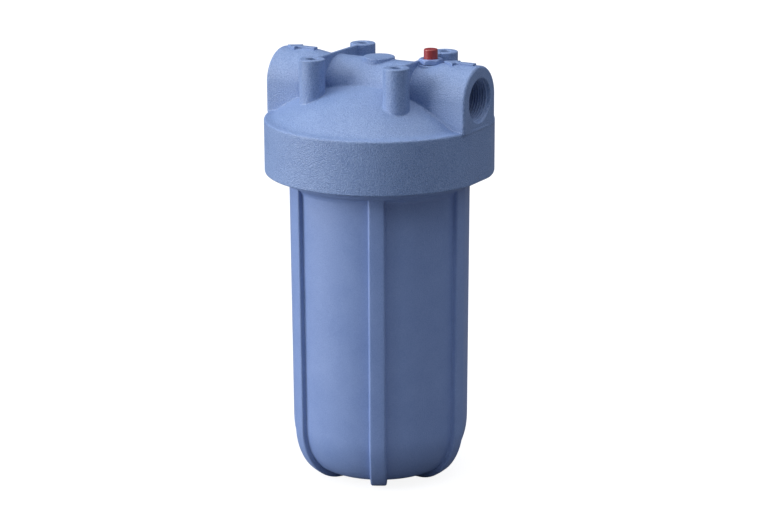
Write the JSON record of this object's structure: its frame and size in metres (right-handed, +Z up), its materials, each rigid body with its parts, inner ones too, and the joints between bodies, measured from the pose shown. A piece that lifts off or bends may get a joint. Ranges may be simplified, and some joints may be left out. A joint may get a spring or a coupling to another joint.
{
  "type": "cartridge filter housing",
  "caption": "Upright cartridge filter housing: ribbed sump screwed into a domed cap with two pipe ports, bracket bosses and a push-button pressure relief valve over a pleated cartridge.",
  "frame": {"origin": "on the floor under the middle of the sump, in the plane of the six feet", "axes": "+Z up along the sump's axis; X along the port axis, with the inlet on +X and the outlet on -X; Y across, with the front towards -Y"},
  "size_m": [0.1806, 0.184, 0.355],
  "materials": {
    "cap_blue": "moulded polypropylene, fine stipple",
    "sump_blue": "moulded polypropylene, satin",
    "button_red": "semi-gloss",
    "seal_black": "matt",
    "spring_steel": "drawn wire",
    "stem_brass": "turned",
    "core_white": "moulded",
    "media_white": "pleated non-woven polyester",
    "end_cap_white": "cast vinyl",
    "gasket_grey": "matt"
  },
  "bodies": {
    "sump": {"sump": "sump_blue", "cartridge_core": "core_white", "cartridge_media": "media_white", "cartridge_top_cap": "end_cap_white", "cartridge_bottom_cap": "end_cap_white", "cartridge_top_gasket": "gasket_grey", "cartridge_bottom_gasket": "gasket_grey"},
    "seal": {"sump_o_ring": "seal_black"},
    "cap": {"cap": "cap_blue", "relief_bushing": "cap_blue", "relief_spring": "spring_steel"},
    "relief_valve": {"relief_button": "button_red", "relief_stem": "stem_brass", "relief_seal": "seal_black"}
  },
  "joints": [
    {"name": "cap_turn", "type": "hinge", "parent": "sump", "child": "seal", "pos_m": [0, 0, 0.27], "axis": [0, 0, 1], "range_deg": [0, 2160]},
    {"name": "cap_rise", "type": "slide", "parent": "seal", "child": "cap", "axis": [0, 0, 1], "range_m": [0, 0.0382]},
    {"name": "relief_press", "type": "slide", "parent": "cap", "child": "relief_valve", "axis": [0, 0, -1], "range_m": [0, 0.003], "stiffness_N_per_m": 1500, "springref_m": -0.003, "deforming": ["relief_spring"]}
  ],
  "couplings": [
    {"joint": "cap_rise", "follows": "cap_turn", "m_per_rad": 0.0010106}
  ]
}
